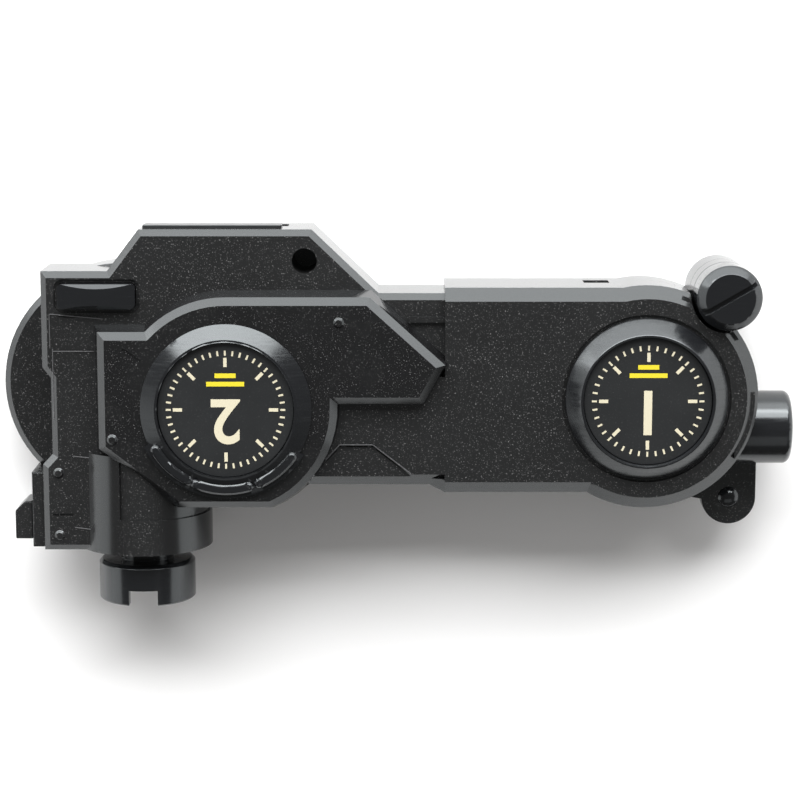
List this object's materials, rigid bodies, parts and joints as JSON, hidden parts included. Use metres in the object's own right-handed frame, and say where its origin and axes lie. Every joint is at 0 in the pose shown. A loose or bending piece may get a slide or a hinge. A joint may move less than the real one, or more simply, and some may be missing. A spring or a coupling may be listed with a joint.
{
  "type": "spinning top launcher",
  "caption": "Hand-held spinning top launcher with a geared arm, ripcord channels, a notched launch head, a selector dial and sprung push buttons.",
  "frame": {"origin": "centre of the bounding box on the plane that the launcher lies on", "axes": "+X along the arm to the end button, +Y from the launch head to the roof, +Z out of the front face"},
  "size_m": [0.1923, 0.0926, 0.0361],
  "materials": {
    "shell": "black moulded plastic, fine speckle",
    "cover": "black moulded plastic, satin",
    "gloss": "glossy black plastic",
    "badge": "matte black printed disc",
    "gear_light": "natural acetal",
    "gear_grey": "grey acetal",
    "steel": "plain steel",
    "brass": "plain turned bush"
  },
  "bodies": {
    "casing": {"front_case": "shell", "rear_case": "shell", "drum_cover": "shell", "front_cover": "cover", "arm_bezel": "gloss", "bezel_badge": "badge", "rear_bezel": "gloss", "roof_rail": "badge", "lock_spring": "steel", "end_spring": "steel", "lock_barrel": "shell", "ear_rivet": "gloss", "side_rail": "shell", "head_bushes": "brass", "crown_axle": "steel", "dial_axle": "steel", "arm_axle": "steel", "idler_axles": "steel", "case_screws": "steel"},
    "dial": {"selector_dial": "gloss", "dial_badge": "badge"},
    "lock": {"lock_button": "gloss"},
    "push": {"end_button": "gloss"},
    "coin": {"coin_screw": "gloss"},
    "slider": {"side_slider": "shell"},
    "head": {"launch_head": "gloss", "head_shaft": "steel", "head_pinion": "gear_light"},
    "crown": {"crown_gear": "gear_light"},
    "dial_wheel": {"dial_gear": "gear_grey"},
    "idler_1": {"idler_gear_1": "gear_light"},
    "idler_2": {"idler_gear_2": "gear_light"},
    "idler_3": {"idler_gear_3": "gear_light"},
    "arm_wheel": {"arm_gear": "gear_grey"}
  },
  "joints": [
    {"name": "crown_spin", "type": "hinge", "parent": "casing", "child": "crown", "pos_m": [-0.06155, 0.00934, 0.0115], "axis": [0, 0, 1], "continuous": true},
    {"name": "dial_wheel_spin", "type": "hinge", "parent": "casing", "child": "dial_wheel", "pos_m": [-0.04045, 0.0035, 0.0185], "axis": [0, 0, 1], "continuous": true},
    {"name": "idler_3_spin", "type": "hinge", "parent": "casing", "child": "idler_3", "pos_m": [-0.01408, 0.00395, 0.021], "axis": [0, 0, 1], "continuous": true},
    {"name": "idler_2_spin", "type": "hinge", "parent": "casing", "child": "idler_2", "pos_m": [0.0103, 0.00436, 0.021], "axis": [0, 0, 1], "continuous": true},
    {"name": "idler_1_spin", "type": "hinge", "parent": "casing", "child": "idler_1", "pos_m": [0.03418, 0.00476, 0.021], "axis": [0, 0, 1], "continuous": true},
    {"name": "arm_wheel_spin", "type": "hinge", "parent": "casing", "child": "arm_wheel", "pos_m": [0.06005, 0.0052, 0.0185], "axis": [0, 0, 1], "continuous": true},
    {"name": "head_spin", "type": "hinge", "parent": "casing", "child": "head", "pos_m": [-0.06155, -0.0413, 0.0165], "axis": [0, 1, 0], "continuous": true},
    {"name": "end_button_push", "type": "slide", "parent": "casing", "child": "push", "axis": [-1, 0, 0], "range_m": [0, 0.003], "stiffness_N_per_m": 800, "springref_m": -0.004, "deforming": ["end_spring"]},
    {"name": "lock_button_push", "type": "slide", "parent": "casing", "child": "lock", "axis": [0, 0, -1], "range_m": [0, 0.002], "stiffness_N_per_m": 600, "springref_m": -0.004, "deforming": ["lock_spring"]},
    {"name": "side_slider_move", "type": "slide", "parent": "casing", "child": "slider", "axis": [0, 1, 0], "range_m": [0, 0.006]},
    {"name": "coin_screw_turn", "type": "hinge", "parent": "casing", "child": "coin", "pos_m": [0.07911, 0.02977, 0.0285], "axis": [0, 0, 1], "range_deg": [0, 90]},
    {"name": "dial_turn", "type": "hinge", "parent": "casing", "child": "dial", "pos_m": [-0.04045, 0.0035, 0.0345], "axis": [0, 0, 1], "range_deg": [0, 40]}
  ],
  "couplings": [
    {"joint": "dial_wheel_spin", "follows": "crown_spin", "ratio": -0.57143},
    {"joint": "idler_3_spin", "follows": "crown_spin", "ratio": 0.64},
    {"joint": "idler_2_spin", "follows": "crown_spin", "ratio": -0.66667},
    {"joint": "idler_1_spin", "follows": "crown_spin", "ratio": 0.66667},
    {"joint": "arm_wheel_spin", "follows": "crown_spin", "ratio": -0.57143},
    {"joint": "head_spin", "follows": "crown_spin", "ratio": -2.5}
  ]
}
